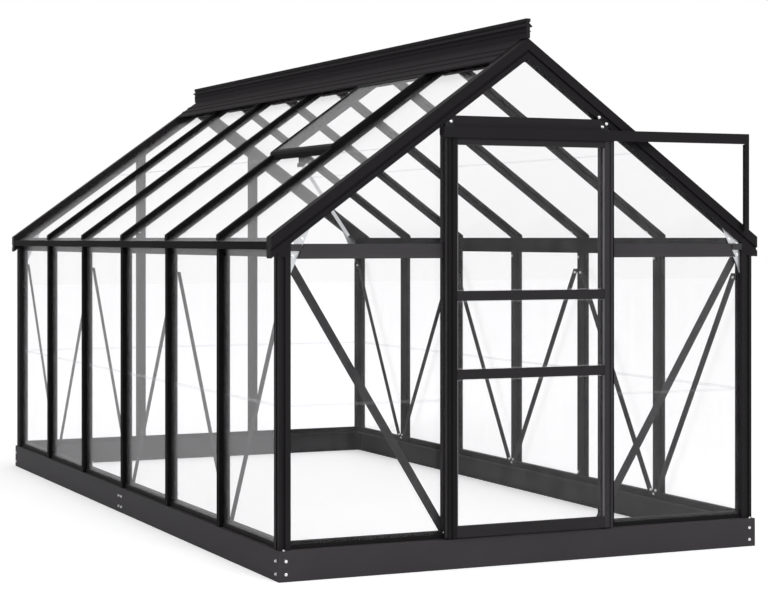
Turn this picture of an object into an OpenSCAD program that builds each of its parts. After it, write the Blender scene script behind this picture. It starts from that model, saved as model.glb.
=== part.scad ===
// Apex-roofed glass greenhouse on a folded sheet base, with a sliding door hung from an outrigger track.
// +X is to the right of the door, +Y runs from the door gable to the back, +Z is up.
// The origin is at the bottom centre of the whole object. All sizes are in millimetres.

/* [Overall size] */
// Width over the outer faces of the two side walls
frame_w = 1950; // [1600:2:2200]
// Length over the outer faces of the two gables
frame_l = 3728; // [2800:4:4600]
// Height of the eave line above the base, where the roof plane meets the wall's outer face
eave_h = 1100; // [920:4:1400]
// Height of the roof's apex above the base
apex_h = 1804; // [1700:4:2300]
// Number of glazed bays along each side wall
bays = 6; // [4:2:8]

/* [Base] */
// Height of the base rails
base_h = 106; // [60:2:160]
// How far the base stands out past the side walls and past the gables
base_out = [5, 16]; // [2:1:24]
// Thickness of the folded base sheet
base_t = 3; // [2:0.5:4]
// Width of the base's top flange
base_top_flange = 72; // [64:1:90]
// Width of the base's bottom flange
base_bottom_flange = 30; // [20:1:50]
// Gap at the joint between the two halves of a side rail
base_joint = 0.6; // [0.4:0.1:0.8]
// Length of a splice plate inside the side joint
splice_l = 90; // [70:5:140]
// Leg of the angles inside the base's corners
angle_leg = 42; // [34:1:56]

/* [Glazing bars] */
// Depth of a bar from its outer face to its inner face
bar_d = 45; // [42:1:48]
// Depth of an upright's cap outside the glass
cap_d = 18; // [16:1:28]
// Width of the cap of a wall or roof bar
cap_w = 28; // [24:1:36]
// Width of the flange inside the glass
flange_w = 20; // [16:1:26]
// Depth of the roof's glass behind the rafters' outer edges
roof_pane_d = 26; // [24:1:28]
// How far the caps of the roof bars stand back from the rafters' outer edges
roof_cap_in = 8; // [4:1:12]
// Thickness of the stem between cap and flange
stem_w = 6; // [4:1:8]
// Width of the two bars in the back gable
rear_bar_w = 40; // [34:1:48]
// Distance of the back gable's bars from the centre line
rear_bar_x = 316; // [260:2:360]
// How far the roof bars run out past the side walls
bar_over = 2; // [0:1:14]
// Distance of the first and last bar line from the gable faces
end_inset = 4; // [2:1:8]

/* [Glass] */
// Thickness of the glass
glass_t = 3; // [3:0.5:4]
// Clearance around a pane where it meets metal
fit = 0.3; // [0.2:0.05:0.4]
// Clearance between a pane's edge and the stem of a bar
pane_clear = 2; // [1:0.5:4]
// How far a gable pane reaches in behind the edge of a bar's cap
rebate = 10; // [6:1:12]
// Width and depth of the groove along the cap of a bar
cap_groove = [8, 2]; // [1:1:12]
// Place of the groove in a corner post's face, measured in from its outer corner
post_groove = [11, 25]; // [8:1:28]
// Depth of the grooves in a corner post
post_groove_d = 8; // [3:1:12]
// Thickness of the web inside a corner post
post_web = 8; // [6:1:12]
// Height of the joint between lower and upper wall panes above the base
wall_lap = 495; // [400:5:600]
// Distance of the joint between the roof panes from the centre line
roof_lap = 515; // [430:5:600]
// How far the roof panes run out past the side walls
pane_over = 6; // [4:1:22]

/* [Sill and eave] */
// Height of the sill under the glass
sill_h = 16; // [12:1:24]
// Height of the lip on the sill's inner edge
sill_lip = 10; // [6:1:14]
// How far the sill is set back from the bars' outer faces
sill_set = 14; // [12:1:16]
// Height of the eave beam at its inner face
eave_beam_h = 67; // [60:1:90]
// Height of the gutter's floor above the eave beam's underside
gutter_rise = 26; // [20:1:32]
// Height of the gutter's outer lip
gutter_lip = 28; // [22:1:40]
// Wall of the gutter
gutter_t = 3; // [2:0.5:4]

/* [Rafters and ridge] */
// Height of a gable rafter, measured upright
rafter_h = 75; // [66:1:84]
// Place of the groove along a rafter's face, measured upright from its lower edge
rafter_groove = [22, 34]; // [16:1:44]
// Depth of the groove along a rafter's face
rafter_groove_d = 8; // [3:1:12]
// How far the rafters run out past the side walls
rafter_over = 27; // [24:1:44]
// How far the gutter's lip stands in from the rafters' tips
gutter_in = 2; // [1:1:6]
// Thickness of the ridge's upright web
ridge_web = 14; // [10:1:18]
// Gap between the roof bars' inner edges and the ridge's bottom flange
ridge_gap = 7.5; // [4:0.5:12]
// Width of the ridge's bottom flange
ridge_foot_w = 36; // [30:1:40]
// Thickness of the ridge's bottom flange
ridge_foot_t = 6; // [4:1:8]
// Height of the ridge above the apex
ridge_rise = 72; // [60:1:90]
// Width and height of the cap along the ridge's top
ridge_cap = [18, 12]; // [8:1:24]
// Width of the neck under the ridge's cap
ridge_neck = 10; // [8:1:14]
// Reach of the ridge's drip edges past its web, their fall and their thickness
ridge_drip = [9, 10, 4]; // [3:1:14]
// Depth of the drip edges below the top of the ridge
ridge_drip_z = 17; // [14:1:22]
// Reach and height of the beads along the ridge's web
ridge_bead = [4, 2.5]; // [2:0.5:6]
// Height of the beads above the apex
ridge_bead_z = 24; // [16:1:30]
// Distance from the centre line to the lower edge of the ridge's left and right skirts
skirt_x = [122, 40]; // [30:2:170]
// Thickness of the ridge's skirts
skirt_t = 5; // [3:0.5:6]
// Places of the two ribs on a skirt, as shares of the skirt's reach
skirt_ribs = [0.46, 0.71]; // [0.3:0.01:0.9]
// Width and height of a rib
skirt_rib = [7, 4]; // [2:1:9]
// Gap under what lies on the roof bars
seat = 0.05; // [0.02:0.01:0.1]

/* [Gables] */
// Clear width of the doorway between the jambs
doorway_w = 608; // [500:4:640]
// Width of a door jamb's face
jamb_w = 32; // [28:1:60]
// How far a jamb's inner part stands back from the doorway
jamb_step = 14; // [10:1:16]
// Height of the header's underside above the base
header_z = 1455; // [1380:5:1480]
// Height of the header
header_h = 60; // [44:1:64]
// Height of the underside of the eave-level ties above the base
tie_z = 1004; // [900:2:1010]
// Height of the eave-level ties
tie_h = 52; // [44:1:60]
// Heights above a tie's underside between which its face steps back
tie_step_z = [4, 15]; // [2:1:24]
// How far the upper part of a tie's face stands back
tie_step = 4; // [2:1:5]
// Depth and height of the fin that carries a tie across to the corner post
tie_fin = [6, 24]; // [4:1:30]
// Length of a gusset down the corner post and inwards along the rafter
gusset = [115, 78]; // [60:1:130]
// Depth of a gusset behind the gable's face, and its thickness
gusset_d = [13, 3]; // [2:1:14]

/* [Braces] */
// Width of a brace
brace_w = 31; // [20:1:36]
// Thickness of a brace
brace_t = 3; // [2:0.5:4]
// Height of the lower end of the braces above the base
brace_z0 = 20; // [18:1:40]
// Distance between two braces that meet, centre to centre
brace_pair = 40; // [39:0.5:44]
// Distance of a brace's upper end from the outer face of the corner it is fixed to
brace_corner = 49; // [48:0.5:56]
// Height of the upper end of the side wall braces above the base
side_brace_z1 = 940; // [840:5:945]
// Height of the upper end of the front braces above the base
front_brace_z1 = 1003; // [860:1:1006]

/* [Door and track] */
// Width of the door leaf
door_w = 696; // [660:2:740]
// Thickness of the door leaf
door_t = 22; // [16:1:24]
// Gap under the door leaf
door_under = 7; // [5:1:12]
// Gap between the door leaf and the track
door_top_gap = 5; // [5:1:8]
// Width of the door's stiles
stile_w = 44; // [36:1:52]
// Height of the door's bottom rail
bottom_rail_h = 40; // [30:1:60]
// Height of the door's top rail
top_rail_h = 28; // [24:1:50]
// Heights of the centres of the two middle rails above the base
mid_rail_z = [588, 869]; // [300:1:1100]
// Height of a middle rail
mid_rail_h = 35; // [28:1:44]
// How far the rails stand back from the faces of the stiles
rail_set = 2; // [1:0.5:4]
// Width and depth of the groove down the face of a stile
stile_groove = [8, 4]; // [3:1:12]
// Width and depth of the step along the outer edge of a stile, where its seal sits
stile_step = [8, 12]; // [4:1:14]
// Height of the track above the base
track_z = 1442; // [1360:2:1450]
// Height of the track
track_h = 31; // [29:1:36]
// Depth of the track in front of the gable
track_d = 38; // [36:1:44]
// Wall of the track
track_t = 2.5; // [2:0.5:3]
// How far the track's outer wall hangs down past its underside
track_apron = 8; // [6:1:12]
// Width of the slot under the track
track_slot = 14; // [13:1:16]
// Distance of the track's left end from the centre line
track_left = 360; // [356:2:380]
// How far the track stops short of the side wall's outer face
track_short = 37; // [14:1:60]
// Width and thickness of the angle that holds up the track's end
strut = [20, 3]; // [2:1:30]
// How far the strut reaches up the rafter from its lower edge
strut_foot = 44; // [8:1:60]
// Diameter of the door's rollers
roller_dia = 22; // [18:1:23]
// Width of a roller on each side of its hanger
roller_w = 9; // [7:0.5:9]
// Diameter of the roller's axle
axle_dia = 5; // [4:0.5:6]
// Width and thickness of a hanger
hanger = [60, 4]; // [3:1:70]
// Distance of the hangers from the middle of the door
hanger_x = 300; // [260:5:300]

/* [Roof vent] */
// Bay of the left slope that holds the vent, counted from the door gable
vent_bay = 2; // [1:1:4]
// Width of the vent's frame members
vent_member = 14; // [13:1:20]
// Height of the vent's frame above the roof bars
vent_h = 10; // [8:1:16]
// How far the vent reaches past the middle of the bars beside it
vent_lap = 12; // [8:1:14]
// How far the vent reaches past the bar at its lower edge
vent_lip = 2; // [1:1:8]
// Gap between the ridge's skirt and the vent
vent_gap = 1; // [0.5:0.5:3]
// Width of the bar across the roof at the vent's lower edge
vent_sill_w = 12; // [10:1:20]
// Width and thickness of the stay's arm
stay = [14, 3]; // [2:1:20]
// Length, height and width of the bracket that holds the stay
stay_bracket = [24, 12, 56]; // [8:1:60]
// How far the free end of the stay hangs inwards and downwards from its bracket
stay_reach = [198, 282]; // [100:2:320]

/* [Hidden] */

// Colours of the finishes
coat = "#2a292b";
base_coat = "#3e3b3e";
clear = [0.86, 0.9, 0.92, 0.35];
bare = "#c9ccd0";

// Sides and ends: -1 is the left side or the door gable, 1 is the right side or the back gable
left = -1;
right = 1;
front = -1;
back = 1;

half_w = frame_w / 2;
half_l = frame_l / 2;
// The track reaches further forward than the base reaches back, so the frame stands this far back
shift_y = (track_d - base_out[1]) / 2;

// Roof plane
slope = (apex_h - eave_h) / half_w;
cos_pitch = 1 / sqrt(1 + slope * slope);

// Depths of the glass and the inner flange behind a bar's outer face
groove = glass_t + 2 * fit;
glass_d = [cap_d + fit, cap_d + fit + glass_t];
flange_d = [cap_d + groove, bar_d];
// The stem runs a little into the cap and the flange, so the three are one piece; cuts run out as far
lap = 1;
stem_d = [cap_d - lap, cap_d + groove + lap];
roof_cap = [roof_cap_in, roof_pane_d];
roof_glass_d = [roof_pane_d + fit, roof_pane_d + fit + glass_t];
roof_flange_d = [roof_pane_d + groove, bar_d];
roof_stem_d = [roof_pane_d - lap, roof_pane_d + groove + lap];

// Bar lines along the side walls
pitch = (frame_l - 2 * end_inset) / bays;

// Levels
sill_z = base_h + sill_h;
lip_z = sill_z + sill_lip;
beam_z = roof_z(half_w - bar_d, bar_d) - eave_beam_h;
gutter_z = beam_z + gutter_rise;
// Underside of the ridge's bottom flange
ridge_foot_z = roof_z(ridge_foot_w / 2, bar_d) - ridge_gap - ridge_foot_t;
glass_z = sill_z + fit;
lap_z = base_h + wall_lap;

// Corner posts: where the panes stop, and the web that joins the post's two parts
corner_web = [cap_d - lap, cap_d + post_web];
corner_pane = corner_web[1] + fit;

// Doorway
jamb_x = [doorway_w / 2, doorway_w / 2 + jamb_w];
jamb_stem_x = [jamb_x[0] + jamb_step, jamb_x[1] - rebate];
door_mid = -half_l - track_d / 2;
door_z = [base_h + door_under, base_h + track_z - door_top_gap];
track_x = [-track_left, half_w - track_short];
roller_z = base_h + track_z + track_t + fit + roller_dia / 2;

// Height of the roof, d behind the roof plane, at x from the centre line
function roof_z(x, d) = base_h + apex_h - slope * abs(x) - d / cos_pitch;
// Height of the underside of a gable rafter
function rafter_z(x) = base_h + apex_h - slope * abs(x) - rafter_h;
// Place of bar line k along the walls
function bar_y(k) = -half_l + end_inset + k * pitch;
// Distance in from the centre line of the gusset's free edge at height z
function gusset_x(z) = let (foot = half_w - bar_d, head = foot - gusset[1])
    head + (rafter_z(head) - z) / (rafter_z(head) - rafter_z(foot) + gusset[0]) * gusset[1];

// Moves everything so that the origin is at the middle of the whole object
module placed() {
    translate([0, shift_y, 0])
        children();
}

// Box between two corners
module box(x, y, z) {
    translate([min(x), min(y), z[0]])
        cube([abs(x[1] - x[0]), abs(y[1] - y[0]), z[1] - z[0]]);
}

// Box in a side wall: d is the depth behind the wall's outer face
module wall_box(side, d, y, z) {
    box([side * (half_w - d[0]), side * (half_w - d[1])], y, z);
}

// Box in a gable: d is the depth behind the gable's outer face
module gable_box(end, x, d, z) {
    box(x, [end * (half_l - d[0]), end * (half_l - d[1])], z);
}

// Outline in the XZ plane made into a plate of a gable, between two depths
module gable_plate(end, d, outline) {
    translate([0, end * half_l - end * (end > 0 ? d[0] : d[1]), 0])
        rotate([90, 0, 0])
            linear_extrude(d[1] - d[0])
                polygon(outline);
}

// Outline in the XZ plane made into a straight piece along Y
module along_y(y, outline) {
    translate([0, y[1], 0])
        rotate([90, 0, 0])
            linear_extrude(y[1] - y[0])
                polygon(outline);
}

// Flat piece that follows one slope, between two distances from the centre line and two depths
module roof_slab(side, x, d, y) {
    along_y(y, [for (p = [[0, 0], [1, 0], [1, 1], [0, 1]]) [side * x[p[0]], roof_z(x[p[0]], d[p[1]])]]);
}

// Base rail with mitred ends, along X
module base_rail(length) {
    intersection() {
        rotate([90, 0, 90])
            translate([0, 0, -length / 2])
                linear_extrude(length)
                    base_section();
        linear_extrude(base_h)
            polygon([[-length / 2, 0], [length / 2, 0],
                [length / 2 - base_top_flange, base_top_flange],
                [-length / 2 + base_top_flange, base_top_flange]]);
    }
}

// Folded section of the base, with its outer face at 0
module base_section() {
    difference() {
        square([base_top_flange, base_h]);
        translate([base_t, base_t])
            square([base_top_flange, base_h - 2 * base_t]);
        translate([base_bottom_flange, -base_t])
            square([base_top_flange, 3 * base_t]);
    }
}

module base_end(end) {
    color(base_coat)
        placed()
            translate([0, end * (half_l + base_out[1]), 0])
                rotate([0, 0, end > 0 ? 180 : 0])
                    base_rail(frame_w + 2 * base_out[0]);
}

module base_side(side) {
    color(base_coat)
        placed()
            difference() {
                translate([side * (half_w + base_out[0]), 0, 0])
                    rotate([0, 0, side > 0 ? 90 : -90])
                        base_rail(frame_l + 2 * base_out[1]);
                cube([4 * half_w, base_joint, 4 * base_h], center = true);
            }
}

module base_front() {
    base_end(front);
}

module base_rear() {
    base_end(back);
}

module base_left() {
    base_side(left);
}

module base_right() {
    base_side(right);
}

// Splice plates inside the side joints and angles inside the corners
module base_fixings() {
    z = [base_t, base_h - base_t];
    skin = [base_t, base_t] - base_out;
    color(base_coat)
        placed() {
            for (side = [left, right])
                wall_box(side, [skin[0], skin[0] + base_t], [-splice_l / 2, splice_l / 2], z);
            for (side = [left, right], end = [front, back])
                translate([0, 0, base_t])
                    linear_extrude(base_h - 2 * base_t)
                        difference() {
                            corner_square(side, end, skin, angle_leg);
                            corner_square(side, end, skin + [base_t, base_t], angle_leg);
                        }
        }
}

// Square in plan at a corner of the base, set in from both outer faces
module corner_square(side, end, inset, size) {
    x = [half_w - inset[0], half_w - inset[0] - size];
    y = [half_l - inset[1], half_l - inset[1] - size];
    polygon([[side * x[0], end * y[0]], [side * x[1], end * y[0]],
        [side * x[1], end * y[1]], [side * x[0], end * y[1]]]);
}

// Sill of a gable: the lip stands only where a pane stands behind it
module gable_sill(end, lips) {
    color(coat)
        placed() {
            gable_box(end, [bar_d - half_w, half_w - bar_d], [sill_set, bar_d], [base_h, sill_z]);
            for (x = lips)
                gable_box(end, x, flange_d, [sill_z - lap, lip_z]);
        }
}

module sill_front() {
    inner = jamb_x[1];
    outer = half_w - bar_d;
    gable_sill(front, [[-outer, -inner], [inner, outer]]);
}

module sill_rear() {
    outer = half_w - bar_d;
    gable_sill(back, [[-outer, outer]]);
}

module side_sills() {
    y = [bar_d - half_l, half_l - bar_d];
    color(coat)
        placed()
            for (side = [left, right]) {
                wall_box(side, [sill_set, bar_d], y, [base_h, sill_z]);
                wall_box(side, flange_d, y, [sill_z - lap, lip_z]);
            }
}

// Box at a corner of the frame, given by its depths behind the side wall and behind the gable
module corner_box(side, end, u, v, z) {
    box([side * (half_w - u[0]), side * (half_w - u[1])],
        [end * (half_l - v[0]), end * (half_l - v[1])], z);
}

module corner_posts() {
    z = [base_h, beam_z];
    cut_z = [base_h - lap, beam_z + lap];
    cut_d = [-lap, post_groove_d];
    color(coat)
        placed()
            for (side = [left, right], end = [front, back])
                difference() {
                    union() {
                        corner_box(side, end, [0, cap_d], [0, bar_d], z);
                        corner_box(side, end, [0, bar_d], [0, cap_d], z);
                        corner_box(side, end, corner_web, corner_web, z);
                        corner_box(side, end, flange_d, flange_d, z);
                    }
                    corner_box(side, end, cut_d, post_groove, cut_z);
                    corner_box(side, end, post_groove, cut_d, cut_z);
                }
}

// Glazing bar of a side wall, with a foot that reaches down past the sill
module wall_bars(side) {
    color(coat)
        placed()
            for (k = [1 : bays - 1]) {
                y = bar_y(k);
                difference() {
                    wall_box(side, [0, cap_d], [y - cap_w / 2, y + cap_w / 2], [sill_z, gutter_z]);
                    wall_box(side, [-lap, cap_groove[1]],
                        [y - cap_groove[0] / 2, y + cap_groove[0] / 2], [base_h, gutter_z + lap]);
                }
                wall_box(side, stem_d, [y - stem_w / 2, y + stem_w / 2], [lip_z, beam_z]);
                wall_box(side, flange_d, [y - flange_w / 2, y + flange_w / 2], [lip_z, beam_z]);
                wall_box(side, [0, sill_set - fit], [y - cap_w / 2, y + cap_w / 2], [base_h, sill_z + lap]);
            }
}

module left_wall_bars() {
    wall_bars(left);
}

module right_wall_bars() {
    wall_bars(right);
}

// Part of an upright in a gable that runs up to the rafters
module gable_upright(end, x, d, z0) {
    gable_plate(end, d, [[x[0], z0], [x[1], z0], [x[1], rafter_z(x[1])], [x[0], rafter_z(x[0])]]);
}

module rear_gable_bars() {
    color(coat)
        placed()
            for (side = [left, right]) {
                x = [side * rear_bar_x - rear_bar_w / 2, side * rear_bar_x + rear_bar_w / 2];
                stem = [side * rear_bar_x - stem_w / 2, side * rear_bar_x + stem_w / 2];
                cut = [side * rear_bar_x - cap_groove[0] / 2, side * rear_bar_x + cap_groove[0] / 2];
                difference() {
                    gable_upright(back, x, [0, cap_d], sill_z);
                    gable_upright(back, cut, [-lap, cap_groove[1]], base_h);
                }
                gable_upright(back, stem, stem_d, lip_z);
                gable_upright(back, x, flange_d, lip_z);
                gable_box(back, x, [0, sill_set - fit], [base_h, sill_z + lap]);
            }
}

module door_jambs() {
    color(coat)
        placed()
            for (side = [left, right]) {
                x = side * jamb_x;
                gable_upright(front, x, [0, cap_d], sill_z);
                gable_upright(front, side * jamb_stem_x, stem_d, lip_z);
                gable_upright(front, side * [jamb_stem_x[0], jamb_x[1]], flange_d, lip_z);
                gable_box(front, x, [0, sill_set - fit], [base_h, sill_z + lap]);
            }
}

module door_header() {
    z = base_h + header_z;
    color(coat)
        placed()
            intersection() {
                gable_box(front, [-jamb_x[0], jamb_x[0]], [0, bar_d], [z, z + header_h]);
                under_rafters();
            }
}

// Everything under the front rafters, as deep as a bar
module under_rafters() {
    gable_plate(front, [-lap, bar_d + lap], [[-half_w, base_h], [half_w, base_h],
        [half_w, rafter_z(half_w) - seat], [0, rafter_z(0) - seat], [-half_w, rafter_z(half_w) - seat]]);
}

// Ties at eave level between the jambs and the corners, cut to the gusset's edge
module front_ties() {
    z = [base_h + tie_z, base_h + tie_z + tie_h];
    fin_z = [z[1] - lap - tie_fin[1], z[1] - lap];
    color(coat)
        placed()
            for (side = [left, right]) {
                intersection() {
                    gable_plate(front, [0, bar_d], [[side * jamb_x[1], z[0]], [side * gusset_x(z[0]), z[0]],
                        [side * gusset_x(z[1]), z[1]], [side * jamb_x[1], z[1]]]);
                    translate([-half_w, -half_l, 0])
                        rotate([90, 0, 90])
                            linear_extrude(frame_w)
                                polygon(tie_section(z));
                }
                gable_box(front, [side * gusset_x(fin_z[0]) - side * lap, side * (half_w - bar_d)],
                    [0, tie_fin[0]], fin_z);
            }
}

// Outline of a tie from the side: depth behind the gable's face, and height
function tie_section(z) = let (web = [z[0] + rebate + lap, z[1] - rebate - lap])
    [[0, z[0]], [0, z[0] + tie_step_z[0]], [tie_step, z[0] + tie_step_z[1]], [tie_step, z[1]],
        [cap_d, z[1]], [cap_d, web[1]], [flange_d[0], web[1]], [flange_d[0], z[1]],
        [bar_d, z[1]], [bar_d, z[0]],
        [flange_d[0], z[0]], [flange_d[0], web[0]], [cap_d, web[0]], [cap_d, z[0]]];

// Eave beam with the gutter on its outer side, fitted between the gable rafters
module eave_beam(side) {
    y = [bar_d - half_l, half_l - bar_d];
    foot = half_w - bar_d;
    lip_x = half_w + rafter_over - gutter_in;
    back = half_w - flange_d[0];
    color(coat)
        placed() {
            along_y(y, [[side * foot, beam_z], [side * back, beam_z], [side * back, gutter_z],
                [side * half_w, gutter_z], [side * half_w, roof_z(half_w, bar_d) - seat],
                [side * foot, roof_z(foot, bar_d) - seat]]);
            along_y(y, [[side * (half_w - lap), gutter_z], [side * lip_x, gutter_z],
                [side * lip_x, gutter_z + gutter_lip], [side * (lip_x - gutter_t), gutter_z + gutter_lip],
                [side * (lip_x - gutter_t), gutter_z + gutter_t],
                [side * (half_w - lap), gutter_z + gutter_t]]);
        }
}

module eave_beam_left() {
    eave_beam(left);
}

module eave_beam_right() {
    eave_beam(right);
}

// Ridge: the head runs over the gables, the web, foot and skirts lie between the rafters
module ridge_beam() {
    apex = base_h + apex_h;
    inner = [bar_d - half_l, half_l - bar_d];
    web = ridge_web / 2;
    head = ridge_head(apex);
    color(coat)
        placed() {
            along_y([-half_l, half_l], concat(head,
                [for (k = [len(head) - 1 : -1 : 0]) [-head[k][0], head[k][1]]]));
            box([-web, web], inner, [ridge_foot_z, apex + lap]);
            box([-ridge_foot_w / 2, ridge_foot_w / 2], inner, [ridge_foot_z, ridge_foot_z + ridge_foot_t]);
            for (side = [left, right])
                ridge_skirt(side, inner);
        }
}

// Right half of the ridge head's outline, from the apex up to the cap
function ridge_head(apex) = let (web = ridge_web / 2, neck = ridge_neck / 2, cap = ridge_cap[0] / 2,
        top = apex + ridge_rise, bead = apex + ridge_bead_z, drip = top - ridge_drip_z,
        reach = web + ridge_drip[0], fall = drip - ridge_drip[1])
    [[web, apex], [web, bead], [web + ridge_bead[0], bead], [web + ridge_bead[0], bead + ridge_bead[1]],
        [web, bead + ridge_bead[1]], [web, fall], [reach, fall - ridge_drip[2]], [reach, fall],
        [neck, drip], [neck, top - ridge_cap[1]], [cap, top - ridge_cap[1]], [cap, top]];

module ridge_skirt(side, y) {
    edge = side == left ? skirt_x[0] : skirt_x[1];
    roof_slab(side, [ridge_web / 2 - lap, edge], [-skirt_t - seat, -seat], y);
    for (share = skirt_ribs)
        roof_slab(side, [edge * share, edge * share + skirt_rib[0]],
            [-skirt_t - skirt_rib[1], -skirt_t + lap], y);
}

// Gable rafter with its foot over the corner post
module rafter(side, end) {
    foot = half_w - bar_d;
    tip = half_w + rafter_over;
    difference() {
        union() {
            rafter_layer(side, end, [0, cap_d], 0);
            rafter_layer(side, end, stem_d, rebate + 2 * pane_clear);
            rafter_layer(side, end, flange_d, 0);
            for (d = [[0, cap_d], flange_d])
                rafter_foot(side, end, d, foot);
            rafter_foot(side, end, stem_d, half_w - corner_web[1]);
        }
        gable_plate(end, [-lap, rafter_groove_d], [
            [0, rafter_z(0) + rafter_groove[0]],
            [side * (tip + lap), rafter_z(tip + lap) + rafter_groove[0]],
            [side * (tip + lap), rafter_z(tip + lap) + rafter_groove[1]],
            [0, rafter_z(0) + rafter_groove[1]]]);
    }
}

// One layer of a rafter, its lower edge raised by the given amount
module rafter_layer(side, end, d, raise) {
    tip = half_w + rafter_over;
    gable_plate(end, d, [[0, rafter_z(0) + raise], [side * tip, rafter_z(tip) + raise],
        [side * tip, roof_z(tip, 0)], [0, roof_z(0, 0)]]);
}

module rafter_foot(side, end, d, x) {
    gable_plate(end, d, [[side * x, beam_z], [side * half_w, beam_z],
        [side * half_w, roof_z(half_w, lap)], [side * x, roof_z(x, lap)]]);
}

module front_rafters() {
    color(coat)
        placed()
            for (side = [left, right])
                rafter(side, front);
}

module rear_rafters() {
    color(coat)
        placed()
            for (side = [left, right])
                rafter(side, back);
}

// Roof bars from the ridge's web to just past the eave beam
module roof_bars(side) {
    x = [ridge_web / 2, half_w + bar_over];
    color(coat)
        placed()
            for (k = [1 : bays - 1]) {
                y = bar_y(k);
                difference() {
                    roof_slab(side, x, roof_cap, [y - cap_w / 2, y + cap_w / 2]);
                    roof_slab(side, [x[0] - lap, x[1] + lap],
                        [roof_cap_in - lap, roof_cap_in + cap_groove[1]],
                        [y - cap_groove[0] / 2, y + cap_groove[0] / 2]);
                }
                roof_slab(side, x, roof_stem_d, [y - stem_w / 2, y + stem_w / 2]);
                roof_slab(side, x, roof_flange_d, [y - flange_w / 2, y + flange_w / 2]);
            }
}

module left_roof_bars() {
    roof_bars(left);
}

module right_roof_bars() {
    roof_bars(right);
}

// Triangular plates that tie each gable rafter to its corner post
module corner_gussets() {
    foot = half_w - bar_d;
    head = foot - gusset[1];
    d = [gusset_d[0], gusset_d[0] + gusset_d[1]];
    color(bare)
        placed()
            for (side = [left, right], end = [front, back])
                gable_plate(end, d, [[side * head, rafter_z(head)], [side * foot, rafter_z(foot)],
                    [side * foot, rafter_z(foot) - gusset[0]]]);
}

// Outline of a flat brace whose ends are cut level, leaning from (u[0], z[0]) to (u[1], z[1])
function brace_outline(u, z) = let (w = brace_w * norm([u[1] - u[0], z[1] - z[0]]) / (z[1] - z[0]) / 2)
    [[u[0] - w, z[0]], [u[0] + w, z[0]], [u[1] + w, z[1]], [u[1] - w, z[1]]];

// Two braces make a V that meets at the foot of every second bar
module wall_braces(side) {
    z = [base_h + brace_z0, base_h + side_brace_z1];
    x = half_w - bar_d;
    color(coat)
        placed()
            for (k = [1 : 2 : bays - 1], lean = [-1, 1]) {
                far = k + lean;
                corner = far == 0 || far == bays;
                head = corner ? lean * (half_l - brace_corner) : bar_y(far) - lean * brace_pair / 2;
                translate([side * x - (side > 0 ? brace_t : 0), 0, 0])
                    rotate([90, 0, 90])
                        linear_extrude(brace_t)
                            polygon(brace_outline([bar_y(k) + lean * brace_pair / 2, head], z));
            }
}

module left_wall_braces() {
    wall_braces(left);
}

module right_wall_braces() {
    wall_braces(right);
}

module front_braces() {
    z = [base_h + brace_z0, base_h + front_brace_z1];
    u = [jamb_x[1] - brace_w / 2, half_w - brace_corner];
    color(coat)
        placed()
            for (side = [left, right])
                gable_plate(front, [bar_d, bar_d + brace_t], brace_outline(side * u, z));
}

// Closed channel in front of the gable, open along a slot underneath
module door_track() {
    z = [base_h + track_z, base_h + track_z + track_h];
    y = [-half_l - track_d, -half_l];
    wall = [track_t, -track_t];
    color(coat)
        placed()
            difference() {
                union() {
                    box(track_x, y, z);
                    box(track_x, [y[0], y[0] + track_t], [z[0] - track_apron, z[1]]);
                }
                box(track_x + wall, y + wall, z + wall);
                box(track_x + wall, [door_mid - track_slot / 2, door_mid + track_slot / 2],
                    [z[0] - lap, z[0] + 2 * track_t]);
            }
}

module track_strut() {
    x = track_x[1];
    y = -half_l - track_d;
    z = [rafter_z(x - strut[0] / 2) + strut_foot, base_h + track_z - track_apron];
    color(coat)
        placed() {
            box([x - strut[0], x], [y, y + strut[1]], z);
            box([x - strut[1], x], [y, -half_l], z);
        }
}

// Panes of a side wall, two to a bay; the upper ones run up past the beam to the gutter, between the rafters
module wall_glass(side) {
    color(clear)
        placed()
            for (k = [0 : bays - 1]) {
                y = pane_y(k, half_l - corner_pane);
                wall_box(side, glass_d, y, [glass_z, lap_z - fit]);
                wall_box(side, glass_d, y, [lap_z + fit, beam_z - fit]);
                wall_box(side, glass_d, pane_y(k, half_l - bar_d - fit),
                    [beam_z - fit - lap, gutter_z - fit]);
            }
}

// Span of the pane in bay k, where the end panes stop at the given distance from the middle
function pane_y(k, stop) = [k == 0 ? -stop : bar_y(k) + stem_w / 2 + pane_clear,
    k == bays - 1 ? stop : bar_y(k + 1) - stem_w / 2 - pane_clear];

module left_wall_glass() {
    wall_glass(left);
}

module right_wall_glass() {
    wall_glass(right);
}

// Height of a gable pane's edge in behind the cap of the rafter
function pane_z(x) = rafter_z(x) + rebate;

// Pane of a gable that runs up to the rafters
module top_pane(end, x, z0) {
    gable_plate(end, glass_d, [[x[0], z0], [x[1], z0], [x[1], pane_z(x[1])], [x[0], pane_z(x[0])]]);
}

module rear_gable_glass() {
    inner = rear_bar_x - stem_w / 2 - pane_clear;
    outer = rear_bar_x + stem_w / 2 + pane_clear;
    edge = half_w - corner_pane;
    low = [glass_z, lap_z - fit];
    color(clear)
        placed() {
            gable_box(back, [-inner, inner], glass_d, low);
            gable_plate(back, glass_d, [[-inner, lap_z + fit], [inner, lap_z + fit],
                [inner, pane_z(inner)], [0, pane_z(0)], [-inner, pane_z(inner)]]);
            for (side = [left, right]) {
                gable_box(back, [side * outer, side * edge], glass_d, low);
                top_pane(back, [side * outer, side * edge], lap_z + fit);
            }
        }
}

module front_glass(side) {
    x = [side * (jamb_stem_x[1] + fit), side * (half_w - corner_pane)];
    stem_z = [base_h + tie_z + rebate + lap, base_h + tie_z + tie_h - rebate - lap];
    color(clear)
        placed() {
            gable_box(front, x, glass_d, [glass_z, lap_z - fit]);
            gable_box(front, x, glass_d, [lap_z + fit, stem_z[0] - fit]);
            top_pane(front, x, stem_z[1] + fit);
        }
}

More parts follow.
